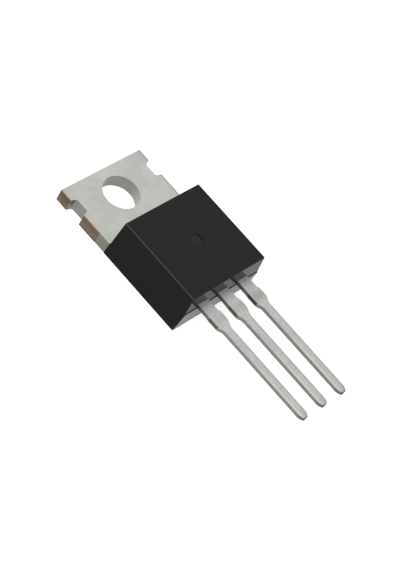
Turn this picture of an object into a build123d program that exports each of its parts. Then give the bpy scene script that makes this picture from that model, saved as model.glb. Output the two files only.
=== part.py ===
from build123d import *
import math
import os

# Through-hole power transistor in the flat three-lead package with a bolt-down metal tab.
#
# Frame: the origin is the centre of the mounting hole on the back face of the tab.
# +Z leaves the front of the moulded body, the back lies on Z = 0, the leads point along -Y
# and the tab ends at +Y.  All sizes are in millimetres, "reach" is a distance from the
# origin towards the lead tips, and "height" is a distance up from the back face.

# ---------------------------------------------------------------- driving dimensions

# Tab: the stamped copper plate outside the moulding.
tab_width = 9.83
tab_thickness = 1.38
tab_end = 2.76                # hole centre to the free end of the tab
hole_diameter = 3.56
tab_edge_roll = 0.08          # rounding that the press leaves on the back edges
notch_centre = 0.60           # side notch, from the hole centre towards the free end
notch_mouth = 1.73
notch_floor = 1.40
notch_depth = 0.60
notch_radius = 0.22
ear_length = 2.06             # sheared stretch of flank between the notch and the slot end
flank_relief = 0.03           # plated flank beside the moulding, set in from the sheared ears

# Die pad: the same plate, narrowed where the moulding wraps round it.
pad_width = 8.20
pad_end_cover = 3.04          # moulding past the lead end of the pad
ledge_width = 0.35            # coined step that the moulding hooks under
ledge_height = 0.50
groove_reach = 4.55           # moisture groove across the pad
groove_width = 0.40
groove_depth = 0.18

# Leads, stamped from the thin gauge of the same strip.
lead_pitch = 2.54
lead_width = 0.87
lead_thickness = 0.44
lead_height = 2.36            # underside of the leads, which is also the parting line
lead_reach = 25.84
shoulder_width = 1.27         # wide root of each lead at the moulding
stub_width = 1.46             # sheared remains of the dam bar
punch_offset = 0.025          # root off the centre line to one side, and stub to the other
stub_start = 1.53             # moulding to the start of the sheared stub
stub_length = 0.86            # on the first lead's side, where the shear ran further down
short_stub_length = 0.53      # on the other side
flare_length = 0.50           # root to stub
neck_length = 0.78            # stub to narrow blade, below the longer stub
long_neck_length = 1.20       # below the shorter one
tip_length = 0.62
tip_flat = 0.34               # width of the cut end
lead_edge_break = 0.02         # coined off the long edges

# Lead ends inside the moulding.
root_inside = 1.40            # wide root continued inside the moulding
post_width = 2.35             # flag that the wire is bonded to
post_length = 1.25
post_overhang = 0.62          # flag reaching past the root on the inner side
strap_foot_length = 0.49      # strap level with the pad, before it bends up
strap_rise_length = 1.15      # sloping stretch that lifts the middle lead off the pad
strap_bend_radius = 0.45

# Moulded body.
body_start = 3.57             # hole centre to the moulding at the back face
body_length = 9.23            # from there to the parting line at the leads
body_width = 9.76             # at the back face
body_height = 4.43
mould_draft = 3.3             # degrees, both flanks and the tab end
lead_face_draft = 3.8         # degrees, lead end above the parting line
under_face_draft = 3.7        # degrees, lead end below the parting line
parting_step = 0.055          # upper half of the lead end, set back from the lower half
body_edge_radius = 0.11       # round the front face
body_corner_radius = 0.05     # down the upright corners
pin_mark_radius = 0.64        # ejector pin mark on the front, at half the moulding's length
pin_mark_depth = 0.10
pin_mark_offset = 0.08        # from the middle, towards the third lead
gate_mark_width = 0.34        # broken-off moulding gate under the first two leads
gate_mark_height = 0.15
gate_mark_depth = 0.05
gate_mark_level = 0.30
gate_mark_offset = 1.81       # from the middle, towards the first lead

# Silicon die and what holds it.
die_width = 4.20
die_length = 3.60
die_thickness = 0.28
die_end_margin = 0.65         # pad left bare between the die and the leads
solder_thickness = 0.05
solder_margin = 0.15

# Bond wires.
base_wire_diameter = 0.13
emitter_wire_diameter = 0.38
emitter_wire_gap = 0.85       # between the two thick wires
wire_inset = 0.55             # bonded foot, in from the edge of the die
wire_sink = 0.16              # share of the diameter that bonding flattens
wire_foot = 2.2               # bonded length, in diameters
wire_loop = 0.55              # height of the loop over the higher bond
loop_rise_share = 0.38        # of the span, where the rise ends
loop_fall_share = 0.62        # of the span, where the fall starts
wire_bend = 1.2               # bend radius, in diameters
wire_sides = 12               # flats this fine stay within 0.01 mm of the round wire

# ---------------------------------------------------------------- derived values

half_tab = tab_width / 2
half_root = shoulder_width / 2
half_stub = stub_width / 2
half_blade = lead_width / 2
lead_top = lead_height + lead_thickness
body_reach = body_start + body_length
pad_reach = body_reach - pad_end_cover
die_reach = pad_reach - die_end_margin - die_length / 2
notch_low = notch_centre - notch_mouth / 2
ear_reach = ear_length - notch_low
solder_top = tab_thickness + solder_thickness
die_top = solder_top + die_thickness
post_reach = body_reach - root_inside
strap_foot_reach = pad_reach + strap_foot_length
strap_top_reach = strap_foot_reach + strap_rise_length
strap_end_reach = (strap_top_reach + body_reach) / 2
beyond = 2 * body_height      # comfortably clear of the body, for cutting tools


def slope(degrees, rise):
    """Sideways run of a drafted face over a rise."""
    return rise * math.tan(math.radians(degrees))


def extruded(sketch, bottom, height):
    """Flat sketch raised into a solid between two heights."""
    return extrude(Pos(0, 0, bottom) * sketch, height)


# ---------------------------------------------------------------- moulded block

def between_flanks(side_profile):
    """Side profile across the moulding's width, trimmed to its drafted flanks."""
    half_back = body_width / 2
    half_front = half_back - slope(mould_draft, body_height)
    end = make_face(Plane.XZ * Polyline(
        (-half_back, 0), (half_back, 0), (half_front, body_height), (-half_front, body_height),
        close=True))
    return extrude(side_profile, half_back, both=True) & extrude(end, 2 * body_reach, both=True)


def upright_edges(block):
    """Edges of a block that run from its back towards its front."""
    return block.edges().filter_by(lambda e: abs(e.tangent_at(0.5).Z) > 0.9)


def mould_block():
    """Outer form of the moulding, whose lower half stands proud at the lead end."""
    front_start = body_start + slope(mould_draft, body_height)
    back_reach = body_reach - slope(under_face_draft, lead_height)
    step_reach = body_reach - parting_step
    front_reach = step_reach - slope(lead_face_draft, body_height - lead_height)
    upper = between_flanks(make_face(Plane.YZ * Polyline(
        (-body_start, 0), (-front_start, body_height), (-front_reach, body_height),
        (-step_reach, lead_height), (-back_reach + parting_step, 0), close=True)))
    upper = fillet(upright_edges(upper), body_corner_radius)
    upper = fillet(upper.faces().sort_by(Axis.Z)[-1].edges(), body_edge_radius)
    lower = between_flanks(make_face(Plane.YZ * Polyline(
        (-post_reach, 0), (-post_reach, lead_height), (-body_reach, lead_height),
        (-back_reach, 0), close=True)))
    lead_end_corners = upright_edges(lower).sort_by(Axis.Y)[:2]
    return upper + fillet(lead_end_corners, body_corner_radius)


def behind_end_face():
    """Everything on the lead side of the moulding's tab end, right across the part."""
    region = make_face(Plane.YZ * Polyline(
        (-body_start, 0), (-body_start - slope(mould_draft, body_height), body_height),
        (-body_reach, body_height), (-body_reach, 0), close=True))
    return extrude(region, tab_width, both=True)


def surface_marks():
    """Ejector pin mark in the front and gate mark under the leads, as cutters."""
    half_way = -(body_start + body_reach) / 2
    pin_mark = Pos(pin_mark_offset, half_way, body_height - pin_mark_depth) * Cylinder(
        pin_mark_radius, 2 * pin_mark_depth, align=(Align.CENTER, Align.CENTER, Align.MIN))
    wall = -body_reach + slope(under_face_draft, lead_height - gate_mark_level)
    gate_mark = Pos(-gate_mark_offset, wall, gate_mark_level) * Box(
        gate_mark_width, 2 * gate_mark_depth, gate_mark_height)
    return [pin_mark, gate_mark]


# ---------------------------------------------------------------- leads

def ogee(start, end):
    """Two equal arcs that shift an edge sideways, running along Y at both ends."""
    middle = ((start[0] + end[0]) / 2, (start[1] + end[1]) / 2)
    TangentArc(start, middle, tangent=(0, -1))
    TangentArc(end, middle, tangent=(0, 1))


def half_lead(root_edge, stub_edge, stub_run, neck_run):
    """The part of a lead on the +X side of its centre line, seen from the front."""
    stub_y = -body_reach - stub_start
    neck_y = stub_y - stub_run
    blade_y = neck_y - neck_run
    tip_y = -lead_reach + tip_length
    with BuildSketch() as outline:
        with BuildLine():
            Line((0, -post_reach), (root_edge, -post_reach))
            Line((root_edge, -post_reach), (root_edge, stub_y + flare_length))
            ogee((root_edge, stub_y + flare_length), (stub_edge, stub_y))
            Line((stub_edge, stub_y), (stub_edge, neck_y))
            ogee((stub_edge, neck_y), (half_blade, blade_y))
            Line((half_blade, blade_y), (half_blade, tip_y))
            TangentArc((half_blade, tip_y), (tip_flat / 2, -lead_reach), tangent=(0, -1))
            Line((tip_flat / 2, -lead_reach), (0, -lead_reach))
            Line((0, -lead_reach), (0, -post_reach))
        make_face()
    return outline.sketch


def lead_outline():
    """One lead seen from the front, centred on X = 0, from inside the moulding to its tip."""
    right = half_lead(half_root - punch_offset, half_stub + punch_offset,
                      short_stub_length, long_neck_length)
    left = half_lead(half_root + punch_offset, half_stub - punch_offset,
                     stub_length, neck_length)
    return right + mirror(left, Plane.YZ)


def lead_blade():
    """Lead with its long edges broken by coining, centred on X = 0."""
    blade = extruded(lead_outline(), lead_height, lead_thickness)
    flat_edges = [e for e in blade.edges() if abs(e.tangent_at(0.5).Z) < 0.5]
    long_edges = [e for e in flat_edges if e.center().Y < -post_reach - root_inside / 2]
    return chamfer(long_edges, lead_edge_break)


def side_lead(side):
    """Outer lead with the flag for its bond wire; side is -1 for the first, +1 for the third."""
    inner_edge = half_root + post_overhang
    flag_centre = -side * (inner_edge - post_width / 2)
    flag = Pos(flag_centre, -post_reach + post_length / 2) * Rectangle(post_width, post_length)
    lead = lead_blade() + extruded(flag, lead_height, lead_thickness)
    return Pos(side * lead_pitch, 0, 0) * lead


# ---------------------------------------------------------------- tab, pad and middle lead

def tab_plate():
    """Part of the stamped plate outside the moulding, shouldered against its end face."""
    buried = body_start + ledge_width
    plate = Pos(0, (tab_end - ear_reach) / 2) * Rectangle(tab_width, tab_end + ear_reach)
    flank = Pos(0, -(ear_reach + buried) / 2) * Rectangle(
        tab_width - 2 * flank_relief, buried - ear_reach)
    notch_top = notch_centre + notch_floor / 2
    notch_bottom = notch_centre - notch_floor / 2
    notch = make_face(Polyline(
        (half_tab + notch_depth, notch_low),
        (half_tab, notch_low),
        (half_tab - notch_depth, notch_bottom),
        (half_tab - notch_depth, notch_top),
        (half_tab, notch_low + notch_mouth),
        (half_tab + notch_depth, notch_low + notch_mouth), close=True))
    inner_corners = notch.vertices().sort_by(Axis.X)[:2]
    notch = fillet(inner_corners, notch_radius)
    outline = plate + flank - notch - mirror(notch, Plane.YZ)
    tab = extruded(outline, 0, tab_thickness)
    back = tab.faces().sort_by(Axis.Z)[0]
    rolled = [e for e in back.edges() if e.center().Y > -body_start]
    return fillet(rolled, tab_edge_roll) - behind_end_face()


def die_pad():
    """Part of the plate inside the moulding, with its coined ledge and moisture groove."""
    pad_start = body_start - ledge_width
    length = pad_reach - pad_start
    upper = Pos(0, -pad_start - length / 2) * Rectangle(pad_width, length)
    core_length = length - ledge_width
    core = Pos(0, -pad_start - core_length / 2) * Rectangle(
        pad_width - 2 * ledge_width, core_length)
    groove_profile = make_face(Plane.YZ * Polyline(
        (-groove_reach - groove_width / 2, tab_thickness),
        (-groove_reach, tab_thickness - groove_depth),
        (-groove_reach + groove_width / 2, tab_thickness), close=True))
    plate = extruded(upper, ledge_height, tab_thickness - ledge_height)
    return plate + extruded(core, 0, ledge_height) - extrude(groove_profile, pad_width, both=True)


def strap():
    """Bent strap from the pad's front face up to the level of the leads."""
    low = tab_thickness - lead_thickness / 2
    high = lead_height + lead_thickness / 2
    route = Plane.YZ * FilletPolyline(
        (-pad_reach + ledge_width, low), (-strap_foot_reach, low), (-strap_top_reach, high),
        (-strap_end_reach, high), radius=strap_bend_radius)
    section = Plane(origin=route @ 0, x_dir=(1, 0, 0), z_dir=route % 0) * Rectangle(
        shoulder_width, lead_thickness)
    return sweep(section, path=route)


def collector_tab():
    """Tab, die pad and middle lead, which are one stamped and bent piece of copper."""
    plate = tab_plate() + die_pad()
    hole = Cylinder(hole_diameter / 2, 4 * tab_thickness)
    inside = Pos(0, -strap_end_reach + beyond / 2, lead_height) * Box(
        tab_width, beyond, beyond)
    blade = lead_blade() - inside
    return plate - hole + strap() + blade


# ---------------------------------------------------------------- die and wires

def die_block(width, length, bottom, height):
    """Rectangular layer centred on the die's place."""
    return Pos(0, -die_reach, bottom) * Box(
        width, length, height, align=(Align.CENTER, Align.CENTER, Align.MIN))


def carried_along(route, section, sideways):
    """Section carried along lines and arcs that all lie in the plane square to sideways."""
    runs = []
    for edge in route.edges():
        outline = Plane(origin=edge @ 0, x_dir=sideways, z_dir=edge % 0) * section
        if edge.geom_type == GeomType.LINE:
            runs.append(extrude(outline, edge.length))
        else:
            bend_axis = Axis(edge.arc_center, (edge % 0).cross(edge % 1))
            runs.append(revolve(outline, bend_axis, math.degrees(edge.length / edge.radius)))
    return runs[0].fuse(*runs[1:])


def bond_wire(start, end, diameter):
    """Looped wire between two bonds, each given as the middle of its foot on a surface.

    The feet lie level and sink into the surface by wire_sink, where the pieces they are
    bonded to trim them flat.
    """
    start, end = Vector(*start), Vector(*end)
    lift = Vector(0, 0, diameter * (0.5 - wire_sink))
    across = Vector(end.X - start.X, end.Y - start.Y, 0)
    half_foot = across.normalized() * (wire_foot * diameter / 2)
    crest = Vector(0, 0, max(start.Z, end.Z) + wire_loop)
    rise_top = Vector(start.X, start.Y, 0) + across * loop_rise_share + crest
    fall_top = Vector(start.X, start.Y, 0) + across * loop_fall_share + crest
    corners = [start + lift - half_foot, start + lift + half_foot, rise_top, fall_top,
               end + lift - half_foot, end + lift + half_foot]
    route = FilletPolyline(*corners, radius=wire_bend * diameter)
    section = RegularPolygon(diameter / 2, wire_sides, major_radius=False, rotation=180 / wire_sides)
    return carried_along(route, section, across.cross(Vector(0, 0, 1)))


def flag_bond(side, shift):
    """Middle of a bonded foot on the flag of a side lead, shifted across the flag."""
    flag_centre = lead_pitch - half_root - post_overhang + post_width / 2
    return (side * flag_centre + shift, -post_reach + post_length / 2, lead_top)


def die_bond(x):
    """Middle of a bonded foot near the lead end of the die."""
    return (x, -die_reach - die_length / 2 + wire_inset, die_top)


# ---------------------------------------------------------------- assembly

def build_pieces():
    """Every piece of the transistor, in place."""
    block = mould_block()
    tab = collector_tab()
    base_lead = side_lead(-1)
    emitter_lead = side_lead(1)
    solder = die_block(die_width + 2 * solder_margin, die_length + 2 * solder_margin,
                       tab_thickness, solder_thickness)
    die = die_block(die_width, die_length, solder_top, die_thickness)

    base_route = (die_bond(wire_inset - die_width / 2), flag_bond(-1, 0))
    base_wire = bond_wire(*base_route, base_wire_diameter) - die - base_lead
    half_gap = emitter_wire_gap / 2
    emitter_centre = die_width / 2 - wire_inset - half_gap
    emitter_wires = [
        bond_wire(die_bond(emitter_centre + shift), flag_bond(1, shift), emitter_wire_diameter)
        - die - emitter_lead
        for shift in (-half_gap, half_gap)]

    filling = [tab, base_lead, emitter_lead, solder, die, base_wire] + emitter_wires
    body = block
    for cutter in filling + surface_marks():
        body = body - cutter
    return {
        "epoxy_body": body,
        "collector_tab": tab,
        "base_lead": base_lead,
        "emitter_lead": emitter_lead,
        "silicon_die": die,
        "die_solder": solder,
        "base_wire": base_wire,
        "emitter_wire_inner": emitter_wires[0],
        "emitter_wire_outer": emitter_wires[1],
    }


os.makedirs("parts", exist_ok=True)
for name, piece in build_pieces().items():
    export_step(piece, f"parts/{name}.step")
    print(f"{name}: {piece.volume:.3f} mm3")
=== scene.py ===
# %% [markdown]
# # A through-hole power transistor
# The object is a flat three-lead package: a tin-plated copper tab with a bolt hole, a block of
# black moulding compound, and three stamped leads. Its shapes come ready made from the packed
# CAD model, so this lesson is about finishes: how plated metal, sheared copper and moulded
# plastic differ, and how to light something that is half mirror and half soot.

# %% Load the frame
import math

import bpy
from mathutils import Matrix, Vector


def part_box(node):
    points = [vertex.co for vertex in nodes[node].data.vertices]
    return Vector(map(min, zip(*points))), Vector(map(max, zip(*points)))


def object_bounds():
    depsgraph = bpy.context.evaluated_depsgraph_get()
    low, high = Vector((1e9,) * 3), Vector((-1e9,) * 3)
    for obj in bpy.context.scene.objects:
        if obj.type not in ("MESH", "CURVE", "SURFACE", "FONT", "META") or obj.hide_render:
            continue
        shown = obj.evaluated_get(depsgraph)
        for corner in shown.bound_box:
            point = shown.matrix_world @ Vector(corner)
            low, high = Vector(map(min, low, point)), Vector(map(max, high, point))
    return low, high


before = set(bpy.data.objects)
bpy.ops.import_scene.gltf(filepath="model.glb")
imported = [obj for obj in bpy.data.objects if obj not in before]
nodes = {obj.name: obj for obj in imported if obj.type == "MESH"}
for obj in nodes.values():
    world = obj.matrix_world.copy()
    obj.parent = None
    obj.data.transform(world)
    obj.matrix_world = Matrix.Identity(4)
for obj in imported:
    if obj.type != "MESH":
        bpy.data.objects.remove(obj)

cad_low, cad_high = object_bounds()
MM = 0.001
print("pieces:", ", ".join(sorted(nodes)))
print("size in mm:", [round(side / MM, 2) for side in cad_high - cad_low])

# %% [markdown]
# ## Camera
# A long lens from well back keeps the package's edges almost parallel, as product pictures do.
# A camera could be placed by its coordinates, but angles are easier to adjust. This one circles
# a point just under the front face: azimuth turns it round the part, elevation lifts it, and a
# roll about its own axis sets the package on the diagonal.

# %% Camera
VIEW_AIM = Vector((-0.282, -10.827, 1.300)) * MM
VIEW_DISTANCE = 187.56 * MM
VIEW_AZIMUTH = -70.680
VIEW_ELEVATION = 47.013
VIEW_ROLL = 33.892
LENS_MM = 138.81
SENSOR_MM = 36.0
NEAREST_SEEN = VIEW_DISTANCE / 20


def turn(degrees, axis):
    """Rotation matrix about one axis."""
    return Matrix.Rotation(math.radians(degrees), 4, axis)


camera = bpy.data.objects.new("camera", bpy.data.cameras.new("camera"))
bpy.context.scene.collection.objects.link(camera)
camera.data.sensor_width = SENSOR_MM
camera.data.lens = LENS_MM
camera.data.clip_start = NEAREST_SEEN
camera.matrix_world = (
    Matrix.Translation(VIEW_AIM)
    @ turn(VIEW_AZIMUTH, "Z") @ turn(90 - VIEW_ELEVATION, "X") @ turn(VIEW_ROLL, "Z")
    @ Matrix.Translation((0, 0, VIEW_DISTANCE))
)
bpy.context.scene.camera = camera
print("camera at mm:", [round(c / MM, 1) for c in camera.matrix_world.translation])

# %% [markdown]
# ## Colours and nodes
# Every colour is written as an ordinary sRGB hex value, which is what one reads off a colour
# chart, and one function turns it into the linear light that Blender calculates with.
# Every shader node is added by the same function: it sets the node's options, then fills each
# input with either a plain value or the output of another node.

# %% Colour and node helpers
def colour(hex_code):
    """Linear RGBA from an sRGB hex code such as "C0C0B8"."""
    parts = [int(hex_code[i:i + 2], 16) / 255 for i in (0, 2, 4)]
    # The numbers are those of the sRGB standard: a straight foot, then a power curve.
    linear = [p / 12.92 if p <= 0.04045 else ((p + 0.055) / 1.055) ** 2.4 for p in parts]
    return (*linear, 1.0)


def add_node(tree, kind, feed=None, **options):
    """Adds a shader node. feed maps its inputs to plain values or to other nodes' outputs."""
    node = tree.nodes.new("ShaderNode" + kind)
    for option, value in options.items():
        setattr(node, option, value)
    for socket, value in (feed or {}).items():
        if isinstance(value, bpy.types.NodeSocket):
            tree.links.new(value, node.inputs[socket])
        else:
            node.inputs[socket].default_value = value
    return node


WHITE = colour("FFFFFF")
print("middle grey 808080 is", round(colour("808080")[0], 3), "in linear light")

# %% [markdown]
# ## Room
# Plated metal shows what surrounds it, so the surroundings matter more than the lamps. The room
# could be a panorama picture, but plain white gives the tab its even silver and needs no file.
# It has to look pure white behind the part and in its mirrors, yet pure white light would wash
# the part out. So the world is brighter for the rays that see it than for the light it gives.

# %% White room
ROOM_LIGHT = 0.52
ROOM_SEEN = 1.0


def combine(tree, operation, *values):
    """Folds values together: MULTIPLY for "both" masks, MAXIMUM for "either", ADD for a sum."""
    result = values[0]
    for value in values[1:]:
        result = add_node(tree, "Math", {0: result, 1: value}, operation=operation).outputs[0]
    return result


def seen_directly(tree):
    """1 for rays that see a thing, straight, mirrored or through glass, 0 for its light."""
    rays = add_node(tree, "LightPath").outputs
    return combine(tree, "MAXIMUM", rays["Is Camera Ray"], rays["Is Glossy Ray"],
                   rays["Is Transmission Ray"])


world = bpy.data.worlds.new("white_room")
bpy.context.scene.world = world
world.use_nodes = True
tree = world.node_tree
tree.nodes.clear()
lighting = add_node(tree, "Background", {"Color": WHITE, "Strength": ROOM_LIGHT})
backdrop = add_node(tree, "Background", {"Color": WHITE, "Strength": ROOM_SEEN})
room = add_node(tree, "MixShader", {0: seen_directly(tree), 1: lighting.outputs[0],
                                    2: backdrop.outputs[0]})
add_node(tree, "OutputWorld", {"Surface": room.outputs[0]})
bpy.context.scene.view_settings.view_transform = "Standard"
print("the room is seen at", ROOM_SEEN, "and gives light at", ROOM_LIGHT)

# %% [markdown]
# ## Lamps
# One broad lamp stands on the camera's side, high up, and throws the shadow away from the
# viewer. A second, weaker one opens up the far side. Small lamps or a sun would be simpler, but
# they draw a hard shadow, and these large squares soften it. A lamp's reflection would be a
# glaring square on the tab, so the lamps are hidden from mirror rays and light only what isn't
# metal.

# %% Lamps
LAMP_AIM = Vector((0, -8, 2)) * MM


def soft_lamp(name, azimuth, elevation, distance_mm, side_mm, watts):
    """Square area lamp that faces the package and isn't mirrored in the metal."""
    lamp = bpy.data.objects.new(name, bpy.data.lights.new(name, "AREA"))
    bpy.context.scene.collection.objects.link(lamp)
    lamp.data.size = side_mm * MM
    lamp.data.energy = watts
    lamp.visible_glossy = False
    lamp.matrix_world = (
        Matrix.Translation(LAMP_AIM)
        @ turn(azimuth, "Z") @ turn(90 - elevation, "X")
        @ Matrix.Translation((0, 0, distance_mm * MM))
    )
    print(name, "at mm:", [round(c / MM) for c in lamp.matrix_world.translation])


soft_lamp("key_lamp", azimuth=-95, elevation=48, distance_mm=600, side_mm=600, watts=4.2)
soft_lamp("fill_lamp", azimuth=70, elevation=40, distance_mm=500, side_mm=300, watts=0.5)

# %% [markdown]
# ## Card
# The part lies on a sheet of white card. The card takes the shadow, which needs a diffuse
# surface: uncoated paper scatters light evenly and has no gloss. It also has to read as pure
# white, and more lamps would do that only by bleaching the part. So camera and mirror rays see
# a little of the card's own light on top. From below it is clear, and the underside shows.

# %% Sheet of card
CARD_HALF = 2.0
CARD_GAP = 0.01 * MM

card_mesh = bpy.data.meshes.new("white_card")
card_mesh.from_pydata(
    [(x * CARD_HALF, y * CARD_HALF, cad_low.z - CARD_GAP)
     for x, y in ((-1, -1), (1, -1), (1, 1), (-1, 1))], [], [(0, 1, 2, 3)])
card = bpy.data.objects.new("white_card", card_mesh)
bpy.context.scene.collection.objects.link(card)
print("card of", 2 * CARD_HALF, "m,", round(CARD_GAP / MM, 3), "mm under the part")

# %% Matte paper
CARD_GLOW = 0.72


def new_finish(name):
    """Empty material, ready for its nodes, and its node tree."""
    material = bpy.data.materials.new(name)
    material.use_nodes = True
    material.node_tree.nodes.clear()
    return material, material.node_tree


card_paint, tree = new_finish("white_card_matte_paper")
paper = add_node(tree, "BsdfDiffuse", {"Color": colour("BCBCBC")})
glow = combine(tree, "MULTIPLY", seen_directly(tree), CARD_GLOW)
shine = add_node(tree, "Emission", {"Color": WHITE, "Strength": glow})
lit = add_node(tree, "AddShader", {0: paper.outputs[0], 1: shine.outputs[0]})
clear = add_node(tree, "BsdfTransparent", {"Color": WHITE})
from_below = add_node(tree, "NewGeometry").outputs["Backfacing"]
faced = add_node(tree, "MixShader", {0: from_below, 1: lit.outputs[0], 2: clear.outputs[0]})
add_node(tree, "OutputMaterial", {"Surface": faced.outputs[0]})
card_mesh.materials.append(card_paint)
print(card_paint.name, "on", card.name)

# %% [markdown]
# ## Where a finish starts and ends
# A finish such as bare copper covers only part of a piece. Faces could be picked by hand and
# given a material each, but a pick is lost when the CAD model is rebuilt, and its border is
# always sharp. Here each mask is worked out from the position on the part, in millimetres, and
# from the way the surface faces. A mask is 1 where the finish shows and 0 elsewhere, and each
# colour is painted over the last one through its mask.

# %% Position and direction
def place_in_mm(tree):
    """Position on the part, in millimetres."""
    position = add_node(tree, "NewGeometry").outputs["Position"]
    scaled = add_node(tree, "VectorMath", {0: position, "Scale": 1 / MM}, operation="SCALE")
    return scaled.outputs[0]


def facing(tree):
    """The way the surface faces: outputs X, Y and Z, each from -1 to 1."""
    normal = add_node(tree, "NewGeometry").outputs["Normal"]
    return add_node(tree, "SeparateXYZ", {0: normal}).outputs


def either_side(tree, value):
    """The value without its sign, so that one band serves both sides of the part."""
    return add_node(tree, "Math", {0: value}, operation="ABSOLUTE").outputs[0]


print("positions are multiplied by", round(1 / MM), "to be in mm")

# %% Bands and ramps
# A band is written (low, high) or (low, high, blur). A ramp is written (where it is zero, where
# it is full) or with its full strength as a third number.
EDGE_BLUR = 0.015
FAR = 100.0     # further than any place on the part, for a band that is open at one end


def band(tree, value, low, high, blur=EDGE_BLUR):
    """Mask that is 1 where value lies between low and high, with soft ends."""
    rise = add_node(tree, "MapRange", {"Value": value, "From Min": low - blur,
                                       "From Max": low + blur}, interpolation_type="SMOOTHSTEP")
    fall = add_node(tree, "MapRange", {"Value": value, "From Min": high - blur,
                                       "From Max": high + blur, "To Min": 1.0, "To Max": 0.0},
                    interpolation_type="SMOOTHSTEP")
    return combine(tree, "MULTIPLY", rise.outputs[0], fall.outputs[0])


def ramp(tree, value, zero_at, full_at, full=1.0):
    """Mask that grows evenly from 0 to full while value runs between two places."""
    return add_node(tree, "MapRange", {"Value": value, "From Min": zero_at,
                                       "From Max": full_at, "To Max": full}).outputs[0]


def between(tree, share, low, high):
    """Number between two others, where share 0 gives the low one and 1 the high one."""
    return add_node(tree, "MapRange", {"Value": share, "To Min": low,
                                       "To Max": high}).outputs[0]


print("an edge blurs over", 2 * EDGE_BLUR, "mm unless its band says otherwise")

# %% Paint and noise
# Sockets of the Mix node: its share, then the inputs and the output that it has for colours.
SHARE, FIRST, SECOND, MIXED = 0, 6, 7, 2
NOISE_ROUGHNESS = 0.6


def paint_over(tree, under, mask, over):
    """Colour over another colour where the mask is 1. Either may be plain or an output."""
    mixed = add_node(tree, "Mix", {SHARE: mask, FIRST: under, SECOND: over}, data_type="RGBA")
    return mixed.outputs[MIXED]


def speckle(tree, place, size, detail):
    """Noise with spots of about the given size, in the units of place."""
    return add_node(tree, "TexNoise", {"Vector": place, "Scale": 1 / size, "Detail": detail,
                                       "Roughness": NOISE_ROUGHNESS}).outputs[0]


def stretched_speckle(tree, place, spot, detail):
    """Noise whose spots have their own length along x, y and z, in millimetres."""
    in_spots = add_node(tree, "VectorMath", {0: place, 1: [1 / side for side in spot]},
                        operation="MULTIPLY")
    return speckle(tree, in_spots.outputs[0], size=1.0, detail=detail)


print("noise has a roughness of", NOISE_ROUGHNESS, "in its finer layers")

# %% [markdown]
# ## Matte tin over copper: the rolled faces
# The tab and the leads are stamped from copper strip and plated with tin. Matte tin is a soft
# grey silver with no mirror in it, because its crystals scatter the light. The strip was rolled
# along the leads, and that leaves faint streaks in the same direction. The clouds stand for
# uneven plating.
#
# A picture of such a surface could be laid over the faces, but it would smear down the walls.
# Noise measured in millimetres runs through the part like grain through wood, and fits every
# wall. Real tin crystals are smaller than 0.01 mm and rolling lines a few hundredths wide, both
# too fine to show from here, so they are drawn several times coarser.

# %% Measures of the copper, in millimetres
tab_low, tab_high = (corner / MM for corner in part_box("collector_tab"))
body_low, body_high = (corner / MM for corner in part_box("epoxy_body"))
HALF_TAB = tab_high.x
TAB_THICKNESS = 1.38
LEAD_PITCH = 2.54
print("tab half width", round(HALF_TAB, 3), "lead tips at y", round(tab_low.y, 2),
      "moulding from y", round(body_low.y, 2), "to", round(body_high.y, 2))

# %% Streaks, grain and clouds
STREAK = (0.09, 4.0, 0.09)
TIN_GRAIN = 0.16
TIN_CLOUD = 2.2
# Ramps on the noise, which lies between 0 and 1.
CLOUDS_SHOW = (0.35, 0.65)
STREAKS_SHOW = (0.40, 0.75, 0.22)
GRAIN_SHOWS = (0.45, 0.80, 0.40)


def rolled_tin(tree, streaks, grain, cloud):
    """Warm grey tin with lighter clouds, darker streaks and darker grain."""
    tone = paint_over(tree, colour("BDBEB6"), ramp(tree, cloud, *CLOUDS_SHOW),
                      colour("C8C9C3"))
    tone = paint_over(tree, tone, ramp(tree, streaks, *STREAKS_SHOW), colour("A9A9A3"))
    return paint_over(tree, tone, ramp(tree, grain, *GRAIN_SHOWS), colour("ADAEA9"))


print("streaks", STREAK[0], "by", STREAK[1], "mm, grain", TIN_GRAIN, "mm, clouds", TIN_CLOUD,
      "mm")

# %% Painted shade on the tab
# Painted shade: one outer corner is darker, and so is the rim on that side, up to the
# moulding.
SHADE_CORNER_ACROSS = (3.2, 4.5, 0.42)
SHADE_CORNER_ALONG = (1.0, 1.7)
SHADE_RIM = (HALF_TAB - 0.17, FAR, 0.05)
SHADE_RIM_ALONG = (body_high.y - 1.0, body_high.y + 0.6)


def tab_painted_shade(tree, tone, x, y):
    """Painted shade on one outer corner and on the rim on that side."""
    # Painted shade on one outer corner.
    corner = combine(tree, "MULTIPLY", ramp(tree, x, *SHADE_CORNER_ACROSS),
                     ramp(tree, y, *SHADE_CORNER_ALONG))
    tone = paint_over(tree, tone, corner, colour("A9A9A4"))
    # Painted shade along the rim on that side, up to the moulding.
    rim = combine(tree, "MULTIPLY", band(tree, x, *SHADE_RIM), ramp(tree, y, *SHADE_RIM_ALONG))
    return paint_over(tree, tone, rim, colour("A3A39F"))


print("dull rim", round(HALF_TAB - SHADE_RIM[0], 2), "mm wide")

# %% [markdown]
# ## Matte tin over copper: the leads
# The tin on the leads is greyer and blotchier than on the tab, as if handled more. Near the
# roots a dull mark runs across the row, as a clamp would leave it, and beside the moulding a
# blue-grey tone is painted shade, where the leads mirror the black body. Along each lead one
# long edge carries a painted highlight and the other painted shade, and the tips are grey where
# they were cut. What caused the mark and the grey tips is a guess. Their places and tones are
# matched to the object. The leads could have a second material, but the tin is the same, so
# they get more masks on it instead. Places along them are easiest to give by the distance from
# the moulding or from the tip.

# %% Blotches, clamp mark and painted shade at the roots
def from_moulding(distance):
    """The y of a place on the leads, by its distance from the moulding."""
    return body_low.y - distance


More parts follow.
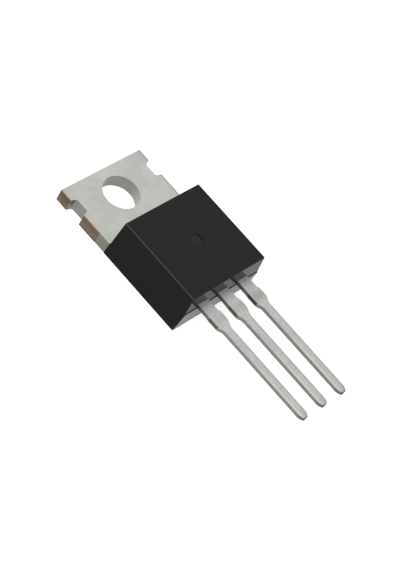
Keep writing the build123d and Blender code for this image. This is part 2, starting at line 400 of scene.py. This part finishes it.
LEADS_START = (from_moulding(-0.1), from_moulding(0.1))
LEADS_STRENGTH = 0.40
LEAD_BLOTCH = 0.35
BLOTCHES_SHOW = (0.45, 0.70)
CLAMP_MARK = (from_moulding(2.3), from_moulding(1.5), 0.25)
CLAMP_FADE = (-4.5, 3.5, 0.55)      # weakest on the first lead
ROOT_PAINTED_SHADE = (from_moulding(1.4), from_moulding(0.0))


def handled_leads(tree, tone, leads, place, x, y):
    """Greyer, blotchy tin with the clamp's mark."""
    tone = paint_over(tree, tone, leads, colour("C6C3C5"))
    blotches = ramp(tree, speckle(tree, place, LEAD_BLOTCH, detail=3.0), *BLOTCHES_SHOW)
    tone = paint_over(tree, tone, combine(tree, "MULTIPLY", leads, blotches), colour("9A9A97"))
    clamped = combine(tree, "MULTIPLY", band(tree, y, *CLAMP_MARK), ramp(tree, x, *CLAMP_FADE))
    return paint_over(tree, tone, clamped, colour("8F918B"))


def roots_painted_shade(tree, tone, leads, y):
    """Blue-grey painted shade, strongest at the moulding, where the leads mirror the black body.
    """
    # Painted shade on the leads beside the black moulding.
    root_shade = combine(tree, "MULTIPLY", leads, ramp(tree, y, *ROOT_PAINTED_SHADE))
    return paint_over(tree, tone, root_shade, colour("7E878D"))


print("clamp mark from y", round(CLAMP_MARK[0], 2), "to", round(CLAMP_MARK[1], 2))


# %% Lead edges and tips
def from_tip(distance):
    """The y of a place on the leads, by its distance from their tips."""
    return tab_low.y + distance


# Bands across are measured from each lead's own centre line.
# Painted highlight along one long edge of each lead and painted shade along the other.
LEAD_HIGHLIGHT_EDGE = (-0.6, -0.24, 0.08)
LEAD_HIGHLIGHT_ALONG = (from_moulding(6.0), from_moulding(9.0), 0.6)
LEAD_SHADE_EDGE = (0.20, 0.6, 0.06)
LEAD_SHADE_ALONG = (from_moulding(3.0), from_moulding(3.6))
LEAD_SHADE_FADE = (-20.0, 0.0, 0.5)       # a little weaker on the first lead
GREY_TIP_HALF = (-0.02, 0.6, 0.10)
GREY_TIP_ALONG = (from_tip(1.0), from_tip(0.3), 0.9)
CUT_TIP_ALONG = (from_tip(0.17), from_tip(0.05), 0.7)


def lead_edges(tree, tone, x, y):
    """One long edge with a painted highlight towards the tip, the other with painted shade, and
    grey tips.
    """
    # Wrapping x by the pitch gives all three leads the same centre line.
    from_middle = add_node(tree, "Math", {0: x, 1: LEAD_PITCH / 2, 2: -LEAD_PITCH / 2},
                           operation="WRAP").outputs[0]
    # Painted highlight along one long edge.
    bright = combine(tree, "MULTIPLY", band(tree, from_middle, *LEAD_HIGHLIGHT_EDGE),
                     ramp(tree, y, *LEAD_HIGHLIGHT_ALONG))
    tone = paint_over(tree, tone, bright, colour("DCDAD6"))
    # Painted shade along the other long edge.
    dull = combine(tree, "MULTIPLY", band(tree, from_middle, *LEAD_SHADE_EDGE),
                   ramp(tree, y, *LEAD_SHADE_ALONG), ramp(tree, x, *LEAD_SHADE_FADE))
    tone = paint_over(tree, tone, dull, colour("A6A6A1"))
    # Greyer tin on one half of each lead near its tip.
    grey_tip_half = combine(tree, "MULTIPLY", ramp(tree, y, *GREY_TIP_ALONG),
                       band(tree, from_middle, *GREY_TIP_HALF))
    tone = paint_over(tree, tone, grey_tip_half, colour("ABABA9"))
    return paint_over(tree, tone, ramp(tree, y, *CUT_TIP_ALONG), colour("7C7C7B"))


print("bright edges from y", round(LEAD_HIGHLIGHT_ALONG[0], 2), "to the tips at", round(from_tip(0), 2))

# %% [markdown]
# ## Punched walls
# A punch shears the upper part of a wall and tears the rest, so the tin on it is rougher than
# on a rolled face. Its darker colour stands partly for that and is partly painted shade. The
# walls could be split off as faces of their own, but they are simply the places that face
# sideways: one band on the direction finds them all, and bands on the position then tell the
# hole, the notches and the leads apart. The hole's wall is lighter on two sides, which is
# painted light, matched to the object. Metal brightens at a flat angle, so the lead ends need a
# very dark colour to look as dark as they are.

# %% Walls of the hole and the leads
BORE_PAINTED_LIGHT_ALONG = (0.0, -1.5)    # towards the moulding
BORE_PAINTED_LIGHT_ACROSS = (0.1, -0.4)   # towards the first lead's side
ROOT_WALL_SHADE = (from_moulding(1.6), from_moulding(0.8))
TIP_WALL = (from_tip(0.9), from_tip(0.4))
END_WALL = (from_tip(0.10), from_tip(0.03))


def bore_wall(tree, x, y):
    """Wall of the bolt hole, with painted light on two sides."""
    # Painted light: the wall is lighter towards the moulding and towards the first lead's side.
    bore = paint_over(tree, colour("868780"), ramp(tree, y, *BORE_PAINTED_LIGHT_ALONG),
                      colour("A8A89F"))
    return paint_over(tree, bore, ramp(tree, x, *BORE_PAINTED_LIGHT_ACROSS), colour("A2A29A"))


def lead_wall(tree, y):
    """Walls of the leads: painted shade at the root, darker at the tip and darkest at the cut
    end.
    """
    # Painted shade on the walls beside the black moulding.
    wall = paint_over(tree, colour("7A7B77"), ramp(tree, y, *ROOT_WALL_SHADE), colour("5C5F62"))
    wall = paint_over(tree, wall, ramp(tree, y, *TIP_WALL), colour("686966"))
    return paint_over(tree, wall, ramp(tree, y, *END_WALL), colour("3A3A3A"))


print("cut ends darken over the last", round(END_WALL[0] - from_tip(0), 2), "mm")

# %% All walls
HOLE_MIDDLE = (0, 0, TAB_THICKNESS / 2)
HOLE_RADIUS = 1.78
HOLE_REACH = (-FAR, HOLE_RADIUS * 1.12)     # the rims are further out than the radius
NOTCH = (3.5, HALF_TAB - 0.3)


def punched_walls(tree, place, x, y, grain):
    """Tin on the walls, darker partly as painted shade: dark outside, lighter in the hole and in
    the notches.
    """
    # The walls' darker tin is partly painted shade.
    wall = paint_over(tree, colour("6B6C65"), grain, colour("7A7B73"))
    from_hole = add_node(tree, "VectorMath", {0: place, 1: HOLE_MIDDLE},
                         operation="DISTANCE").outputs["Value"]
    wall = paint_over(tree, wall, band(tree, from_hole, *HOLE_REACH), bore_wall(tree, x, y))
    in_notch = band(tree, either_side(tree, x), *NOTCH)
    wall = paint_over(tree, wall, in_notch, colour("7F817B"))
    return paint_over(tree, wall, ramp(tree, y, *LEADS_START), lead_wall(tree, y))


print("hole radius", HOLE_RADIUS, "mm, mask reaches", round(HOLE_REACH[1], 2), "mm")

# %% [markdown]
# ## Bare copper
# Neighbouring parts hang together in the strip while it is plated and are cut apart afterwards.
# Those cuts show the copper: on the ears beside the tab, and where the dam bar held the leads
# together. A sheared wall has two zones. Above, the punch rubbed the copper smooth and reddish,
# and below it tore away, darker and oily. Lines run down both. The zones could be two flat
# stripes, but a real border wavers, so a little noise is added to the height first.

# %% Ears
FAR_EAR = (1.49, 2.75)
NEAR_EAR = (-2.33, -0.27)
EAR_FACE = (HALF_TAB - 0.012, FAR, 0.002)   # thinner than the 0.03 that an ear stands out
EAR_SIDEWAYS = (0.7, FAR, 0.05)
SMOOTH_ZONE = (0.55 * TAB_THICKNESS, TAB_THICKNESS - 0.02, 0.09)
ZONE_WAVER = 0.10
SHEAR_LINE = (0.13, 0.13, 1.2)      # coarser than real ones, which wouldn't show
SHEAR_LINES_SHOW = (0.40, 0.65)


def ear_mask(tree, ears, x, across):
    """The cut faces: in line with an ear, outermost, and facing sideways."""
    return combine(tree, "MULTIPLY", ears, band(tree, either_side(tree, x), *EAR_FACE),
                   band(tree, across, *EAR_SIDEWAYS))


def ear_copper(tree, place, y, z, grain):
    """Burnished copper above, torn and oily copper below."""
    waver = between(tree, grain, -ZONE_WAVER, ZONE_WAVER)
    smooth = band(tree, combine(tree, "ADD", z, waver), *SMOOTH_ZONE)
    lines = stretched_speckle(tree, place, SHEAR_LINE, detail=3.0)
    lines = ramp(tree, lines, *SHEAR_LINES_SHOW)
    torn = paint_over(tree, colour("665E50"), lines, colour("7A7161"))
    burnished = paint_over(tree, colour("6C5239"), lines, colour("6E5A47"))
    burnished = paint_over(tree, burnished, band(tree, y, *NEAR_EAR), colour("755B4B"))
    return paint_over(tree, torn, smooth, burnished)


print("copper is smooth above z", round(SMOOTH_ZONE[0], 2), "of", TAB_THICKNESS, "mm")

# %% Ear rims and dam-bar cuts
EAR_RIM_ACROSS = (-FAR, -HALF_TAB + 0.08, 0.05)
EAR_RIM_UP = (TAB_THICKNESS - 0.01, FAR, 0.02)
DAM_BAR_CUT = (from_moulding(2.50), from_moulding(1.40))
DAM_BAR_SIDEWAYS = (0.6, FAR, 0.05)
THIRD_LEAD = (LEAD_PITCH / 2, FAR)


def ear_rims(tree, ears, x, z):
    """Thin pinkish line along the top edge above the ears, on one side only."""
    return combine(tree, "MULTIPLY", ears, band(tree, x, *EAR_RIM_ACROSS),
                   band(tree, z, *EAR_RIM_UP))


def dam_bar_cuts(tree, x, y, across):
    """Mask and colour of the cuts on both sides of every lead, darker on the third."""
    mask = combine(tree, "MULTIPLY", band(tree, across, *DAM_BAR_SIDEWAYS),
                   band(tree, y, *DAM_BAR_CUT))
    oily = paint_over(tree, colour("635F52"), band(tree, x, *THIRD_LEAD), colour("4E4B43"))
    return mask, oily


print("dam-bar cuts from y", round(DAM_BAR_CUT[0], 2), "to", round(DAM_BAR_CUT[1], 2))

# %% [markdown]
# ## The tin finish put together
# Tin and copper are metals, so metallic is 1 all over and the index of refraction keeps its
# default. Matte tin is typically near roughness 0.4, and a bare cut is rougher. One could mix
# two shaders, but one shader whose colour and roughness change costs less and leaves no seam.
# A slight relief from the same streaks and grain breaks up what the metal mirrors.

# %% Colours of the copper piece and its leads
WALLS = (-0.60, 0.60, 0.05)


def tin_and_copper(tree, place, streaks, grain):
    """Colour of every place on the metal, and a mask of the bare copper."""
    x, y, z = add_node(tree, "SeparateXYZ", {0: place}).outputs
    direction = facing(tree)
    across = either_side(tree, direction["X"])
    cloud = speckle(tree, place, TIN_CLOUD, detail=2.0)
    leads = ramp(tree, y, *LEADS_START, LEADS_STRENGTH)

    metal = tab_painted_shade(tree, rolled_tin(tree, streaks, grain, cloud), x, y)
    metal = handled_leads(tree, metal, leads, place, x, y)
    metal = roots_painted_shade(tree, lead_edges(tree, metal, x, y), leads, y)
    metal = paint_over(tree, metal, band(tree, direction["Z"], *WALLS),
                       punched_walls(tree, place, x, y, grain))

    ears = combine(tree, "MAXIMUM", band(tree, y, *FAR_EAR), band(tree, y, *NEAR_EAR))
    ear = ear_mask(tree, ears, x, across)
    metal = paint_over(tree, metal, ear, ear_copper(tree, place, y, z, grain))
    metal = paint_over(tree, metal, ear_rims(tree, ears, x, z), colour("B8A298"))
    cut, oily = dam_bar_cuts(tree, x, y, across)
    metal = paint_over(tree, metal, cut, oily)
    return metal, combine(tree, "MAXIMUM", ear, cut)


print("a wall is where the direction's z is between", WALLS[0], "and", WALLS[1])

# %% Tin finish
TIN_ROUGHNESS = 0.40
COPPER_ROUGHNESS = 0.62
GRAIN_ROUGHNESS = 0.06
TIN_RELIEF = 0.012 * MM
TIN_RELIEF_STRENGTH = 0.25


def matte_tin_on_copper():
    """Plated strip with streaks along the leads and bare copper where it was cut last."""
    material, tree = new_finish("tin_plated_copper_matte")
    place = place_in_mm(tree)
    streaks = stretched_speckle(tree, place, STREAK, detail=3.0)
    grain = speckle(tree, place, TIN_GRAIN, detail=4.0)
    metal, bare = tin_and_copper(tree, place, streaks, grain)
    rough = combine(tree, "ADD", between(tree, grain, -GRAIN_ROUGHNESS, GRAIN_ROUGHNESS),
                    between(tree, bare, TIN_ROUGHNESS, COPPER_ROUGHNESS))
    relief = add_node(tree, "Bump", {"Height": combine(tree, "ADD", streaks, grain),
                                     "Strength": TIN_RELIEF_STRENGTH, "Distance": TIN_RELIEF})
    shader = add_node(tree, "BsdfPrincipled", {
        "Base Color": metal, "Metallic": 1.0, "Roughness": rough, "Normal": relief.outputs[0]})
    add_node(tree, "OutputMaterial", {"Surface": shader.outputs[0]})
    return material


print("roughness", TIN_ROUGHNESS, "for tin and", COPPER_ROUGHNESS, "for bare copper")


# %% Put the tin on
def dress(finish, *names):
    """Puts one finish on whole pieces."""
    for name in names:
        mesh = nodes[name].data
        mesh.materials.clear()
        mesh.materials.append(finish)
        print(finish.name, "with", len(finish.node_tree.nodes), "nodes on", name)


dress(matte_tin_on_copper(), "collector_tab", "base_lead", "emitter_lead")

# %% [markdown]
# ## Mark of the ejector pin
# A pin pushes the hot body out of its tool and leaves a round dent in the front. The dent is in
# the CAD model. The end of such a pin is turned on a lathe and prints its rings. They could be
# cut into the mesh, but they are far too shallow for that: a sine of the distance from the
# middle is enough, and noise wears their crests unevenly. Real turning marks are often about
# 0.1 mm apart. They are drawn coarser here, or they wouldn't show.

# %% Pin mark
PIN_MARK_OFFSET = 0.08
PIN_MARK_MIDDLE = (PIN_MARK_OFFSET, (body_low.y + body_high.y) / 2, body_high.z)
PIN_MARK_RADIUS = 0.64
PIN_MARK = (-FAR, PIN_MARK_RADIUS - 0.03, 0.02)
TURNING_PITCH = 0.26


def turned_pin_face(tree, place):
    """Lathe rings in the pin's mark: 1 on their crests."""
    from_pin = add_node(tree, "VectorMath", {0: place, 1: PIN_MARK_MIDDLE},
                        operation="DISTANCE").outputs["Value"]
    turns = combine(tree, "MULTIPLY", from_pin, 2 * math.pi / TURNING_PITCH)
    rings = add_node(tree, "Math", {0: turns}, operation="SINE").outputs[0]
    return combine(tree, "MULTIPLY", ramp(tree, rings, -1.0, 1.0),
                   band(tree, from_pin, *PIN_MARK))


print("pin mark at mm:", [round(c, 2) for c in PIN_MARK_MIDDLE], "with",
      round(PIN_MARK_RADIUS / TURNING_PITCH, 1), "rings")

# %% [markdown]
# ## Black moulding compound
# The body is epoxy filled with silica and lamp black, pressed into a tool whose cavity was
# spark-eroded. Looked at square on, it is almost without shine, and at a grazing angle it
# mirrors what stands beside it. A low specular level does the first, and a moderate roughness
# the second, because every surface turns into a mirror at a flat enough angle. Epoxy's index of
# refraction is typically 1.5. A matte black diffuse shader would be simpler, but it would lose
# the mirrored leads. The lead end was formed by the smooth parting face of the tool, so it is
# much smoother. The colours also hold painted light: the front is lighter than the flanks, the
# lead end is browner and lighter as a painted reflection, and one long edge carries a painted
# highlight.
#
# The craters of spark erosion are a few hundredths of a millimetre wide and are drawn coarser.

# %% Colours of the moulding
MOULD_CLOUD = 1.8
PIN_BLOTCH = 0.30
# Bands on the direction that a surface faces.
FRONT = (0.7, FAR)
LEAD_FACE = (-FAR, -0.9)
# Painted highlight on the rounded edge between one flank and the top.
EDGE_HIGHLIGHT_ACROSS = (-0.95, -0.25, 0.1)
EDGE_HIGHLIGHT_UP = (0.25, 0.95, 0.1)


def compound_colour(tree, place, direction, rings):
    """Near black, with painted light: lighter in front, browner at the lead end, a highlight
    along one edge.
    """
    cloud = speckle(tree, place, MOULD_CLOUD, detail=3.0)
    tone = paint_over(tree, colour("100F0F"), cloud, colour("141413"))
    # Painted light: the front is painted lighter than the flanks, as if lit more.
    tone = paint_over(tree, tone, band(tree, direction["Z"], *FRONT), colour("1F1F1E"))
    # Painted reflection: the lead end's browner, lighter tone stands for what its smooth face
    # mirrors.
    tone = paint_over(tree, tone, band(tree, direction["Y"], *LEAD_FACE), colour("302B21"))
    # Painted highlight along one rounded long edge.
    rim_highlight = combine(tree, "MULTIPLY", band(tree, direction["X"], *EDGE_HIGHLIGHT_ACROSS),
                     band(tree, direction["Z"], *EDGE_HIGHLIGHT_UP))
    tone = paint_over(tree, tone, rim_highlight, colour("3D3D3C"))
    wear = speckle(tree, place, PIN_BLOTCH, detail=2.0)
    worn_crests = combine(tree, "MULTIPLY", rings, wear)
    return paint_over(tree, tone, worn_crests, colour("34342C"))


print("moulding clouds", MOULD_CLOUD, "mm, wear in the pin mark", PIN_BLOTCH, "mm")

# %% Moulding compound finish
ERODED_GRAIN = 0.14
ERODED_ROUGHNESS = (0.30, 0.40)
POLISHED_ROUGHNESS = 0.11
POLISHED_BLUR = 0.05
EPOXY_IOR = 1.5
SOOTY_SPECULAR = 0.06
MOULD_RELIEF = 0.010 * MM
MOULD_RELIEF_STRENGTH = 0.3
# Inputs of the Mix node for plain numbers.
ROUGH_FIRST, ROUGH_SECOND = 2, 3


def black_moulding_compound():
    """Eroded texture on five sides and the smooth parting face that the leads come out of."""
    material, tree = new_finish("moulding_compound_eroded_black")
    place = place_in_mm(tree)
    direction = facing(tree)
    grain = speckle(tree, place, ERODED_GRAIN, detail=3.0)
    rings = turned_pin_face(tree, place)
    polished = band(tree, direction["Y"], *LEAD_FACE, POLISHED_BLUR)
    rough = add_node(tree, "Mix", {SHARE: polished, ROUGH_SECOND: POLISHED_ROUGHNESS,
                                   ROUGH_FIRST: between(tree, grain, *ERODED_ROUGHNESS)})
    relief = add_node(tree, "Bump", {"Height": combine(tree, "ADD", grain, rings),
                                     "Strength": MOULD_RELIEF_STRENGTH,
                                     "Distance": MOULD_RELIEF})
    shader = add_node(tree, "BsdfPrincipled", {
        "Base Color": compound_colour(tree, place, direction, rings),
        "Roughness": rough.outputs[0], "Normal": relief.outputs[0],
        "IOR": EPOXY_IOR, "Specular IOR Level": SOOTY_SPECULAR})
    add_node(tree, "OutputMaterial", {"Surface": shader.outputs[0]})
    return material


dress(black_moulding_compound(), "epoxy_body")

# %% [markdown]
# ## Inside: diced silicon
# The die, its solder and the bond wires are out of sight. They could be left plain, but a cut
# through the part should look right, so each gets the finish of the real thing. The die is
# sawn from a wafer: steel grey at the sides, with aluminium over a grid of emitter cells on
# top. Silicon isn't a metal, but it mirrors about a third of the light, as a dark metal does, so
# metallic 1 suits it, with the low roughness of a polished wafer. Real cells are finer and are
# drawn coarser here.

# %% Diced silicon
CELL_PITCH = 0.25
CELL_GAP = CELL_PITCH / 12
WAFER_TOP = (0.5, FAR)
WAFER_ROUGHNESS = 0.18


def diced_silicon():
    """Steel grey wafer with a grid of emitter cells in its aluminium top."""
    material, tree = new_finish("silicon_diced")
    cells = add_node(tree, "TexBrick", {
        "Vector": place_in_mm(tree), "Color1": colour("B4B6BA"), "Color2": colour("A9ACB2"),
        "Mortar": colour("6E7480"), "Scale": 1.0, "Mortar Size": CELL_GAP,
        "Brick Width": CELL_PITCH, "Row Height": CELL_PITCH}, offset=0.0)
    tone = paint_over(tree, colour("5E636E"), band(tree, facing(tree)["Z"], *WAFER_TOP),
                      cells.outputs[0])
    shader = add_node(tree, "BsdfPrincipled", {
        "Base Color": tone, "Metallic": 1.0, "Roughness": WAFER_ROUGHNESS})
    add_node(tree, "OutputMaterial", {"Surface": shader.outputs[0]})
    return material


dress(diced_silicon(), "silicon_die")

# %% [markdown]
# ## Inside: solder and wire
# Soft solder dulls as it sets and keeps slow ripples, so it is a metal with a roughness near
# 0.4 and a low relief. Aluminium wire pulled through a drawing die stays brighter, typically
# near roughness 0.25, with fine lines. Those are finer than a hundredth of a millimetre and
# are drawn coarser. Both could carry a picture, but noise is enough for shapes this small.

# %% Reflowed solder
SOLDER_RIPPLE = 0.6
SOLDER_RELIEF = 0.02 * MM
SOLDER_ROUGHNESS = 0.42


def reflowed_solder():
    """Soft solder, dull and slightly rippled where it set."""
    material, tree = new_finish("solder_reflowed")
    ripple = add_node(tree, "TexNoise", {"Vector": place_in_mm(tree),
                                         "Scale": 1 / SOLDER_RIPPLE}).outputs[0]
    relief = add_node(tree, "Bump", {"Height": ripple, "Distance": SOLDER_RELIEF})
    shader = add_node(tree, "BsdfPrincipled", {
        "Base Color": paint_over(tree, colour("8F9193"), ripple, colour("A5A7A8")),
        "Metallic": 1.0, "Roughness": SOLDER_ROUGHNESS, "Normal": relief.outputs[0]})
    add_node(tree, "OutputMaterial", {"Surface": shader.outputs[0]})
    return material


dress(reflowed_solder(), "die_solder")

# %% Drawn aluminium wire
WIRE_DRAW_LINE = 0.03
WIRE_ROUGHNESS = 0.25


def drawn_aluminium_wire():
    """Bright wire with the fine lines of the drawing die."""
    material, tree = new_finish("aluminium_wire_drawn")
    lines = add_node(tree, "TexNoise", {"Vector": place_in_mm(tree),
                                        "Scale": 1 / WIRE_DRAW_LINE}).outputs[0]
    shader = add_node(tree, "BsdfPrincipled", {
        "Base Color": paint_over(tree, colour("C8CACC"), lines, colour("DCDDDE")),
        "Metallic": 1.0, "Roughness": WIRE_ROUGHNESS})
    add_node(tree, "OutputMaterial", {"Surface": shader.outputs[0]})
    return material


dress(drawn_aluminium_wire(), "base_wire", "emitter_wire_inner", "emitter_wire_outer")
